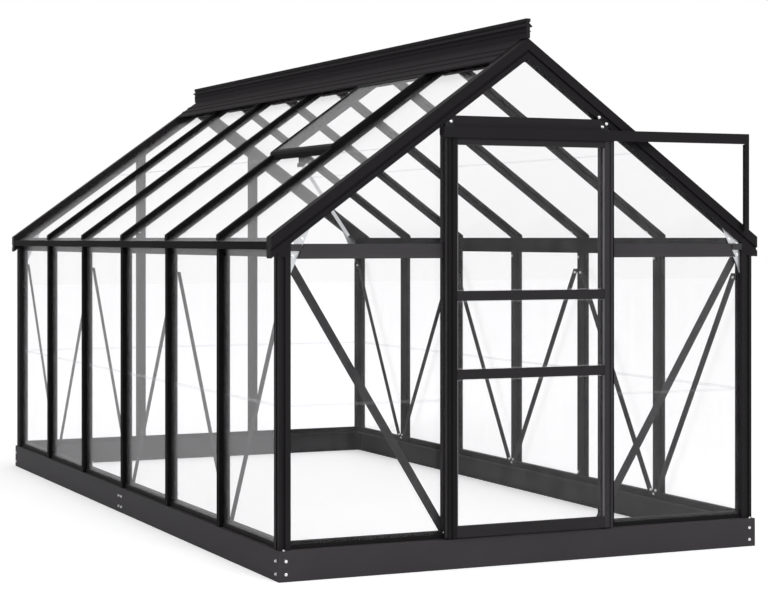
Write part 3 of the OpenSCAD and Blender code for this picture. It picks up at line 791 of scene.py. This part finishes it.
@dataclass
class LapStrip:
    """A clear strip of H section that joins the edges of two panes, one above the other."""

    finish: Finish
    lip: float = 0.0012
    height: float = 0.011
    pocket: float = 0.0036
    web: float = 0.0004

    def model(self, name: str, length: float) -> Piece:
        """Models a strip along X, with its pockets up and down and the panes' middle plane at Y = 0.

        Args:
            name: The strip's name.
            length: Its length.

        Returns:
            The strip.
        """
        front = -(self.pocket + self.lip) / 2.0
        piece = Bench.block(name, (length, self.lip, self.height), (0.0, front, 0.0))
        for side in (-1.0, 1.0):
            Bench.split((0.0, 0.0, side * self.web / 2.0), (0.0, 0.0, 1.0))
        Bench.pick(piece, lambda middle, normal: normal.y > 0.9 and abs(middle.z) < self.web)
        Bench.pull((0.0, self.pocket, 0.0))
        Bench.pull((0.0, self.lip, 0.0))
        reach = self.height / 2.0 - self.web / 2.0
        for side in (-1.0, 1.0):
            Bench.pick(
                piece,
                lambda middle, normal: normal.z * side > 0.9
                and middle.y > self.pocket / 2.0
                and abs(middle.z) < self.web,
            )
            Bench.pull((0.0, 0.0, side * reach))
        return Bench.done(piece)

    def fit(self, name: str, places: Iterable[Place]) -> Piece:
        """Fits strips of given lengths and joins them into one piece.

        Args:
            name: The piece's name.
            places: Where each strip goes, and its length.

        Returns:
            The piece.
        """
        masters: Dict[float, Piece] = {}
        copies = []
        for number, (place, length) in enumerate(places):
            key = round(length, 5)
            if key not in masters:
                masters[key] = self.model(f"{name}_master", key)
            copies.append(Bench.copy(masters[key], f"{name}_{number}", place))
        joined = Bench.join(copies, name)
        for master in masters.values():
            Bench.drop(master)
        return settle(joined, Body.FRAME, Slot.GLASS, self.finish)


# ----- Sub-assemblies -----


@dataclass
class Layout:
    """Places that several sub-assemblies share, some read from the CAD nodes and the rest given."""

    sides: Tuple[int, int] = (-1, 1)
    bars: int = 5
    wall_x: float = 0.0
    base_x: float = 0.0
    base_top: float = 0.0
    base_y: Pair = (0.0, 0.0)
    gable_y: Pair = (0.0, 0.0)
    inner: float = 0.045
    cap_depth: float = 0.0185
    half_cap: float = 0.014
    half_web: float = 0.005
    brace_t: float = 0.003
    brace_foot: float = 0.142
    wall_pane: float = 0.0198
    roof_pane: float = 0.0278
    pane_edge: float = 0.0268
    lap_z: float = 0.601
    rise: float = ROOF_RISE
    apex: float = 1.910
    bar_y: List[float] = field(default_factory=list)

    @classmethod
    def read(cls) -> "Layout":
        """Reads the places from the CAD nodes.

        Returns:
            The layout.
        """
        base_low, base_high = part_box("base_right")
        posts_low, posts_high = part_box("corner_posts")
        bars_low, bars_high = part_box("left_wall_bars")
        first, last = bars_low.y + cls.half_cap, bars_high.y - cls.half_cap
        pitch = (last - first) / (cls.bars - 1)
        return cls(
            wall_x=posts_high.x,
            base_x=base_high.x,
            base_top=base_high.z,
            base_y=(base_low.y, base_high.y),
            gable_y=(posts_low.y, posts_high.y),
            bar_y=[first + pitch * number for number in range(cls.bars)],
        )

    def bays(self, edge: float) -> List[Pair]:
        """Where the panes of each bay of a wall or slope start and stop along Y.

        Args:
            edge: How far the first and last pane stand in from the gables.

        Returns:
            Each bay's start and stop, from the front to the back.
        """
        low, high = self.gable_y
        edges = [low + edge, *self.bar_y, high - edge]
        return [
            (start + (self.half_web if number else 0.0), stop - (self.half_web if number < self.bars else 0.0))
            for number, (start, stop) in enumerate(zip(edges, edges[1:]))
        ]

    def roof_z(self, x: float, depth: float) -> float:
        """Height of a point at X that lies a depth behind the roof plane, measured square to it."""
        return self.apex - self.rise * abs(x) - depth * math.sqrt(1.0 + self.rise * self.rise)


@dataclass
class Base:
    """Folded sheet base with its corner and splice bolts."""

    layout: Layout
    bolt: Bolt
    coat: Finish
    shaded_side_coat: Finish
    corner_in: float = 0.026
    bolt_z: Pair = (0.071, 0.026)
    splice_half: float = 0.0185
    foot_in: float = 0.015
    foot_out: float = 0.008

    def build(self) -> None:
        """Dresses the rails and fits the bolts of the corners, of the side joints and beside the posts' feet."""
        # The front and rear rails, with the fixings, take a lighter tone than the side rails: painted light and
        # painted shade on one coat.
        self.coat.dress_nodes("base_front", "base_rear", "base_fixings")
        self.shaded_side_coat.dress_nodes("base_left", "base_right")
        x, middle = self.layout.base_x, sum(self.layout.base_y) / 2.0
        corner, splice, foot = [], [], []
        for end, y, outward in zip((-1, 1), self.layout.base_y, (FORWARD, REARWARD)):
            for z in self.bolt_z:
                corner.append((Vector((x - self.corner_in, y, z)), outward))
                corner.append((Vector((x, y - end * self.corner_in, z)), OUTWARD))
                splice.append((Vector((x, middle + end * self.splice_half, z)), OUTWARD))
        for end, y in zip((-1, 1), self.layout.gable_y):
            at = (self.layout.wall_x - self.foot_in, y + end * self.foot_out, self.layout.base_top)
            foot.append((Vector(at), UP))
        self.bolt.fix("base_corner_bolts", corner)
        self.bolt.fix("base_splice_bolts", splice)
        self.bolt.fix("post_foot_bolts", foot)


@dataclass
class Walls:
    """Side walls and corner posts, with their glass, braces and fixings."""

    layout: Layout
    bolt: Bolt
    strip: LapStrip
    glass: Finish
    brace_head: float = 1.030
    foot_step: float = 0.018
    head_step: float = 0.024
    post_step: float = 0.053
    bar_feet: Pair = (0.126, 0.150)
    bar_head: float = 1.098

    def build(self) -> None:
        """Dresses the walls and fits strips and bolts."""
        seam = self.layout.wall_x - self.layout.cap_depth
        bars = CapAndShadeCoat("capped_wall_bar", outward=(1.0, 0.0, 0.0), seam=seam, two_sided=True)
        bars.dress_nodes("left_wall_bars", "right_wall_bars")
        # Posts, braces and sills each take their own tone of the one coat, lighter or darker for how light falls on
        # them: painted light and shade.
        PowderCoat("coat_post", (0.022, 0.0205, 0.022)).dress_nodes("corner_posts")
        PowderCoat("coat_brace", (0.040, 0.038, 0.040)).dress_nodes("left_wall_braces", "right_wall_braces")
        PowderCoat("coat_sill", (0.018, 0.0175, 0.018), Run.LENGTHWAYS).dress_nodes("side_sills")
        self.glass.dress_nodes("left_wall_glass", "right_wall_glass")
        self.strip.fit("wall_lap_strips", self.lap_places())
        self.bolt.fix("wall_brace_bolts", self.brace_spots())
        x = self.layout.wall_x - self.layout.inner
        spots = [
            (Vector((x, y, z)), INWARD)
            for number, y in enumerate(self.layout.bar_y)
            for z in (self.bar_feet[number % 2], self.bar_head)
        ]
        self.bolt.fix("wall_bar_bolts", spots)

    def lap_places(self) -> Iterable[Place]:
        """Finds the places of the side walls' strips.

        Yields:
            Where each strip goes, and its length.
        """
        x = self.layout.wall_x - self.layout.wall_pane
        turn = Matrix.Rotation(math.radians(90.0), 4, "Z")
        for side in self.layout.sides:
            for start, stop in self.layout.bays(self.layout.pane_edge):
                middle = Vector((side * x, (start + stop) / 2.0, self.layout.lap_z))
                yield Matrix.Translation(middle) @ turn, stop - start

    def brace_spots(self) -> Iterable[Spot]:
        """Finds the places of the braces' bolts, on their inner faces.

        Yields:
            One bolt at each end of each brace.
        """
        x = self.layout.wall_x - self.layout.inner - self.layout.brace_t
        low, high = self.layout.gable_y
        lines = [low, *self.layout.bar_y, high]
        for number in range(1, len(lines), 2):
            for lean in (-1, 1):
                step = self.head_step if 0 < number + lean < len(lines) - 1 else self.post_step
                yield Vector((x, lines[number] + lean * self.foot_step, self.layout.brace_foot)), INWARD
                yield Vector((x, lines[number + lean] - lean * step, self.brace_head)), INWARD


@dataclass
class Gables:
    """Both gables: jambs, header, ties, bars, gussets, braces, glass and fixings."""

    layout: Layout
    bolt: Bolt
    strip: LapStrip
    glass: Finish
    metal: Finish
    front_pane_x: float = 0.3263
    rear_bar_x: float = 0.316
    jamb_bolt_x: float = 0.311
    brace_x: float = 0.329
    brace_head_in: float = 0.062
    brace_head: float = 1.094
    outer_foot: float = 0.114
    inner_foot: Pair = (0.135, 0.150)
    gusset_in: float = 0.013
    gusset_bolts: Tuple[Pair, ...] = ((0.012, 1.118), (0.012, 1.160), (0.048, 1.178))

    def build(self) -> None:
        """Dresses the gables and fits strips and bolts."""
        seam = self.layout.gable_y[1] - self.layout.cap_depth
        CapAndShadeCoat("capped_rear_bar", outward=(0.0, 1.0, 0.0), seam=seam).dress_nodes("rear_gable_bars")
        # Jambs, front braces, header, ties and sills each take their own tone of the one coat, lighter or darker for
        # how light falls on them: painted light and shade.
        PowderCoat("coat_jamb", (0.040, 0.038, 0.040)).dress_nodes("door_jambs", "front_braces")
        PowderCoat("coat_header", (0.028, 0.026, 0.028), Run.ACROSS).dress_nodes("door_header")
        PowderCoat("coat_tie", (0.059, 0.056, 0.059), Run.ACROSS).dress_nodes("front_ties")
        PowderCoat("coat_gable_sill", (0.018, 0.0175, 0.018), Run.ACROSS).dress_nodes("sill_front", "sill_rear")
        self.glass.dress_nodes("front_glass_left", "front_glass_right", "front_glass_top", "rear_gable_glass")
        self.metal.dress_nodes("corner_gussets")
        self.strip.fit("gable_lap_strips", self.lap_places())
        self.fix()

    def lap_places(self) -> Iterable[Place]:
        """Finds the places of the gables' strips.

        Yields:
            Where each strip goes, and its length.
        """
        low, high = self.layout.gable_y
        stop = self.layout.wall_x - self.layout.pane_edge
        front = (low + self.layout.wall_pane, self.front_pane_x)
        rear = (high - self.layout.wall_pane, self.rear_bar_x + self.layout.half_web)
        for y, start in (front, rear):
            for side in self.layout.sides:
                middle = Vector((side * (start + stop) / 2.0, y, self.layout.lap_z))
                yield Matrix.Translation(middle), stop - start
        length = 2.0 * (self.rear_bar_x - self.layout.half_web)
        yield Matrix.Translation((0.0, rear[0], self.layout.lap_z)), length

    def fix(self) -> None:
        """Fits the bolts of the gussets, of the front braces and of the uprights' feet."""
        low, high = self.layout.gable_y
        inner, x = self.layout.inner, self.layout.wall_x - self.layout.inner
        faces = ((low + self.gusset_in, FORWARD), (high - self.gusset_in, REARWARD))
        gusset = [(Vector((x - inset, y, z)), outward) for y, outward in faces for inset, z in self.gusset_bolts]
        ends = (
            (self.brace_x, self.layout.brace_foot),
            (self.layout.wall_x - self.brace_head_in, self.brace_head),
        )
        brace = [(Vector((x, low + inner + self.layout.brace_t, z)), REARWARD) for x, z in ends]
        front_z, rear_z = self.inner_foot
        upright = [
            (Vector((self.jamb_bolt_x, low, self.outer_foot)), FORWARD),
            (Vector((self.rear_bar_x, high, self.outer_foot)), REARWARD),
            (Vector((self.rear_bar_x, high - inner, rear_z)), FORWARD),
            (Vector((self.jamb_bolt_x, low + inner, front_z)), REARWARD),
        ]
        self.bolt.fix("gusset_bolts", gusset)
        self.bolt.fix("front_brace_bolts", brace)
        self.bolt.fix("upright_bolts", upright)


@dataclass
class Roof:
    """Ridge, rafters, roof bars, eave beams, glass and the vent."""

    layout: Layout
    bolt: Bolt
    strip: LapStrip
    glass: Finish
    right_glass: Finish
    metal: Finish
    seam: float = 0.0265
    pane_edge: float = 0.0453
    lap_x: float = 0.515
    vent_bay: int = 1
    bolt_x: Pair = (0.045, 0.895)

    def build(self) -> None:
        """Dresses the roof and fits strips and bolts."""
        up = (self.layout.rise, 0.0, 1.0)
        seam = self.layout.roof_z(0.0, self.seam)
        # Ridge, rafters, eave beams, vent sill and vent frame each take their own tone of the one coat, lighter or
        # darker for how light falls on them: painted light and shade.
        ridge = PowderCoat("coat_ridge", (0.028, 0.0255, 0.028), Run.LENGTHWAYS, specular=0.004)
        ridge.dress_nodes("ridge_beam")
        rafter = PowderCoat("coat_rafter", (0.019, 0.0175, 0.019), Run.RIGHT_SLOPE)
        rafter.dress_nodes("front_rafters", "rear_rafters")
        eave = PowderCoat("coat_eave", (0.014, 0.013, 0.014), Run.LENGTHWAYS, specular=0.004)
        eave.dress_nodes("eave_beam_left", "eave_beam_right", "vent_sill")
        for side, run in (("left", Run.LEFT_SLOPE), ("right", Run.RIGHT_SLOPE)):
            bars = CapAndShadeCoat(f"capped_{side}_roof_bar", run=run, outward=up, seam=seam, two_sided=True)
            bars.dress_nodes(f"{side}_roof_bars")
        PowderCoat("coat_vent", (0.0125, 0.012, 0.0125), Run.LEFT_SLOPE).dress_nodes("vent_frame")
        self.glass.dress_nodes("left_roof_glass", "vent_glass")
        self.right_glass.dress_nodes("right_roof_glass")
        self.metal.dress_nodes("vent_stay")
        self.strip.fit("roof_lap_strips", self.lap_places())
        under = Vector((-self.layout.rise, 0.0, -1.0)).normalized()
        spots = [
            (Vector((x, y, self.layout.roof_z(x, self.layout.inner))), under)
            for y in self.layout.bar_y
            for x in self.bolt_x
        ]
        self.bolt.fix("roof_bolts", spots)

    def lap_places(self) -> Iterable[Place]:
        """Finds the places of the roof's strips. The vent's bay has none.

        Yields:
            Where each strip goes, and its length.
        """
        z = self.layout.roof_z(self.lap_x, self.layout.roof_pane)
        quarter = math.radians(90.0)
        tip = Matrix.Rotation(quarter, 4, "X")
        for side in self.layout.sides:
            pitch = side * math.atan(self.layout.rise)
            turn = Matrix.Rotation(pitch, 4, "Y") @ Matrix.Rotation(quarter, 4, "Z")
            for number, (start, stop) in enumerate(self.layout.bays(self.pane_edge)):
                if side < 0 and number == self.vent_bay:
                    continue
                middle = Vector((side * self.lap_x, (start + stop) / 2.0, z))
                yield Matrix.Translation(middle) @ turn @ tip, stop - start


@dataclass
class Track:
    """Track in front of the gable with its strut, and the bolts above it, by X and height over its top."""

    layout: Layout
    bolt: Bolt
    places: Tuple[Pair, ...] = ((0.298, 0.050), (0.312, 0.014), (0.329, 0.026), (-0.314, 0.020))

    def build(self) -> None:
        """Dresses the track and fits its bolts."""
        # Track and strut each take their own tone of the one coat, for how light falls on them: painted light and
        # shade.
        PowderCoat("coat_track", (0.021, 0.0195, 0.021), Run.ACROSS).dress_nodes("door_track")
        PowderCoat("coat_strut", (0.018, 0.017, 0.018)).dress_nodes("track_strut")
        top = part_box("door_track")[1].z
        spots = [(Vector((x, self.layout.gable_y[0], top + lift)), FORWARD) for x, lift in self.places]
        self.bolt.fix("track_bolts", spots, (1,))


@dataclass
class Door:
    """Sliding door leaf with its seals, beads, gaskets, hangers and rollers."""

    clear: Finish
    pile: Finish
    grey: Finish
    left_seal_painted_light: Finish
    metal: Finish
    rail_z: Pair = (0.694, 0.975)
    half_rail: float = 0.0175
    pane_z: Tuple[Pair, ...] = ((0.1545, 0.6755), (0.7125, 0.9565), (0.9935, 1.5135))
    bead: float = 0.005
    bead_gap: float = 0.0003
    gasket: float = 0.0036
    gasket_gap: float = 0.0002
    gasket_back: float = 0.0012
    step: float = 0.012
    seal_w: float = 0.0074
    seal_t: float = 0.004
    seal_rim: float = 0.0021
    seal_lip: float = 0.0058
    seal_in: float = 0.0039
    seal_trim: float = 0.001
    seal_edge: float = 0.0005

    def build(self) -> None:
        """Dresses the leaf and fits beads, gaskets and seals."""
        # The seam at the leaf's middle gives the left stile a darker tone than the right: painted shade on the left
        # stile, as both stiles are one coat.
        stile = CapAndShadeCoat(
            "coat_stiles_left_painted_shade",
            (0.044, 0.0415, 0.044),
            cap_and_shade_tone=(0.016, 0.015, 0.016),
            outward=(-1.0, 0.0, 0.0),
        )
        stile.dress_nodes("door_stiles")
        # The rails take their own tone of the one coat, for how light falls on them: painted light and shade.
        PowderCoat("coat_rail", (0.033, 0.031, 0.033), Run.ACROSS).dress_nodes("door_rails")
        Moulded("roller_nylon").dress_nodes("door_rollers")
        self.metal.dress_nodes("door_hangers")
        PaneGlass("door_glass_clear").dress_nodes("door_glass")
        self.beads()
        self.gaskets()
        self.seals()

    def beads(self) -> Piece:
        """Models the clear glazing beads above and below the middle rails.

        Returns:
            The beads as one piece.
        """
        low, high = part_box("door_glass")
        master = Bench.moulding("bead", (high.x - low.x, self.bead, self.bead), self.bead, 0.2, 0.12)
        y = low.y - self.bead / 2.0 - self.bead_gap
        copies = []
        for centre in self.rail_z:
            for side in (-1, 1):
                z = centre + side * (self.half_rail + self.bead / 2.0)
                copies.append(Bench.copy(master, f"bead_{len(copies)}", Matrix.Translation((0.0, y, z))))
        Bench.drop(master)
        joined = Bench.join(copies, "door_glazing_beads")
        return settle(joined, Body.DOOR, Slot.GLASS, self.clear)

    def gaskets(self) -> Piece:
        """Models the light grey gaskets between the panes and the inner edges of the stiles; their light grey is a
        painted highlight for the glint along the stiles' inner edges.

        Returns:
            The gaskets as one piece.
        """
        low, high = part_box("door_glass")
        depth = low.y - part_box("door_stiles")[0].y - self.gasket_back
        y = low.y - depth / 2.0 - self.gasket_gap
        copies = []
        for foot, head in self.pane_z:
            master = Bench.moulding("gasket", (self.gasket, depth, head - foot), self.gasket, 0.12, 0.1)
            for edge, side in ((low.x, -1), (high.x, 1)):
                at = Vector((edge - side * self.gasket / 2.0, y, (foot + head) / 2.0))
                copies.append(Bench.copy(master, f"gasket_{len(copies)}", Matrix.Translation(at)))
            Bench.drop(master)
        joined = Bench.join(copies, "door_gaskets")
        return settle(joined, Body.DOOR, Slot.PLASTIC, self.grey)

    def seals(self) -> None:
        """Models the outer seals of the stiles: on the left a grey seal, whose grey is painted light for light falling
        on that edge of the leaf, and black pile on the right.
        """
        low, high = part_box("door_stiles")
        master = Bench.block("seal", (self.seal_w, self.seal_t, high.z - low.z - self.seal_trim))
        Bench.pick(master, lambda centre, normal: normal.y < -0.9)
        Bench.inset(self.seal_rim)
        Bench.pull((0.0, -self.seal_lip, 0.0))
        Bench.round_edges(self.seal_edge)
        Bench.done(master)
        y = low.y + self.step - self.seal_rim
        left = ("door_left_seal_painted_light", self.left_seal_painted_light, low.x + self.seal_in)
        right = ("door_pile_seal", self.pile, high.x - self.seal_in)
        for name, finish, x in (left, right):
            seal = Bench.copy(master, name, Matrix.Translation((x, y, (low.z + high.z) / 2.0)))
            settle(seal, Body.DOOR, Slot.PLASTIC, finish)
        Bench.drop(master)


# ----- Stage -----


@dataclass
class Studio:
    """Camera, pale floor and plain soft light."""

    camera_at: Triple = (-3.4056, -8.095, 1.1828)
    camera_turn: float = -0.42412
    lens: float = 91.25
    shift: Pair = (0.0033, -0.0823)
    world_light: float = 0.74
    lamp_at: Triple = (0.5, -9.5, 6.5)
    lamp_size: float = 4.0
    lamp_power: float = 260.0

    def build(self) -> None:
        """Sets up the camera, floor, world and lamp."""
        self.camera()
        self.floor()
        self.world()
        self.lamp()
        bpy.context.scene.view_settings.view_transform = "Standard"
        bpy.context.scene.cycles.transparent_max_bounces = 48
        bpy.context.scene.cycles.max_bounces = 10

    def camera(self) -> None:
        """Places the camera."""
        data = bpy.data.cameras.new("camera")
        data.lens = self.lens
        data.sensor_width = 36.0
        data.shift_x, data.shift_y = self.shift
        data.clip_end = 200.0
        camera = bpy.data.objects.new("camera", data)
        camera.location = self.camera_at
        camera.rotation_euler = (math.pi / 2.0, 0.0, self.camera_turn)
        bpy.context.scene.collection.objects.link(camera)
        bpy.context.scene.camera = camera

    def floor(self) -> None:
        """Lays the pale floor."""
        Bench.clear()
        bpy.ops.mesh.primitive_plane_add(size=80.0, location=(0.0, 0.0, -0.0005))
        floor = bpy.context.object
        floor.name = "floor"
        graph, material = Graph.of_material("floor_paint")
        matt = graph.node("ShaderNodeBsdfDiffuse", None, {"Color": (0.86, 0.86, 0.865, 1.0), "Roughness": 0.4})
        seen = graph.node("ShaderNodeLightPath", output="Is Camera Ray")
        glossy = graph.node("ShaderNodeLightPath", output="Is Glossy Ray")
        glow = graph.node(
            "ShaderNodeEmission", None, {"Color": (1.0, 1.0, 1.0, 1.0), "Strength": seen.most(glossy) * 0.4}
        )
        graph.close(graph.node("ShaderNodeAddShader", None, {0: matt, 1: glow}))
        floor.data.materials.append(material)

    def world(self) -> None:
        """Lights the world plainly, and shows it white where it is seen."""
        world = bpy.data.worlds.new("studio")
        bpy.context.scene.world = world
        world.use_nodes = True
        world.node_tree.nodes.clear()
        graph = Graph(world.node_tree)
        seen = graph.node("ShaderNodeLightPath", output="Is Camera Ray")
        glossy = graph.node("ShaderNodeLightPath", output="Is Glossy Ray")
        through = graph.node("ShaderNodeLightPath", output="Is Transmission Ray")
        shown = seen.most(glossy).most(through)
        strength = self.world_light + shown * (1.0 - self.world_light)
        light = graph.node("ShaderNodeBackground", None, {"Color": (1.0, 1.0, 1.0, 1.0), "Strength": strength})
        graph.close(light, "ShaderNodeOutputWorld")

    def lamp(self) -> None:
        """Hangs the soft lamp."""
        data = bpy.data.lights.new("soft_lamp", "AREA")
        data.shape = "SQUARE"
        data.size = self.lamp_size
        data.energy = self.lamp_power
        lamp = bpy.data.objects.new("soft_lamp", data)
        lamp.location = self.lamp_at
        aim = Vector((0.0, 0.0, 0.8)) - Vector(self.lamp_at)
        lamp.rotation_euler = aim.to_track_quat("-Z", "Y").to_euler()
        bpy.context.scene.collection.objects.link(lamp)


def main() -> None:
    """Builds the scene, piece by piece."""
    logging.basicConfig(level=logging.INFO, format="%(name)s: %(message)s")
    Studio().build()
    layout = Layout.read()
    aluminium = BareMetal("bare_aluminium")
    glass = PaneGlass("pane_glass")
    lee_glass = PaneGlass("lee_glass", sheen=0.07, film=0.01)
    bolt = Bolt(BareMetal("bright_zinc", (0.84, 0.845, 0.85), 0.28))
    strip = LapStrip(ClearStrip("clear_lap_strip", milk=0.012, sheen=0.05))
    roof_strip = LapStrip(ClearStrip("clear_roof_strip", milk=0.0, sheen=0.02))
    # A lighter tone for the front and rear rails and a darker one for the sides: painted light and shade, not two
    # coats.
    lit_end_coat = PowderCoat("coat_base", (0.058, 0.0535, 0.058), Run.ACROSS)
    shaded_side_coat = PowderCoat("coat_base_side", (0.047, 0.0435, 0.047), Run.LENGTHWAYS)
    Base(layout, bolt, lit_end_coat, shaded_side_coat).build()
    Walls(layout, bolt, strip, glass).build()
    Gables(layout, bolt, strip, glass, aluminium).build()
    Roof(layout, bolt, roof_strip, glass, lee_glass, aluminium).build()
    Track(layout, bolt).build()
    clear = ClearStrip("clear_strip")
    pile = Moulded("black_pile", (0.004, 0.004, 0.004), roughness=0.85, specular=0.02)
    # The gaskets' light grey is a painted highlight, for the glint along the stiles' inner edges.
    gasket = Moulded("gasket_painted_glint", (0.17, 0.165, 0.17), specular=0.1)
    # The left seal's grey is painted light, for light falling on that edge of the leaf.
    left_seal_painted_light = Moulded("left_seal_painted_light_grey", (0.05, 0.0475, 0.05), specular=0.02)
    Door(clear, pile, gasket, left_seal_painted_light, aluminium).build()
    Bench.drop(bolt.master)


if __name__ == "__main__":
    main()
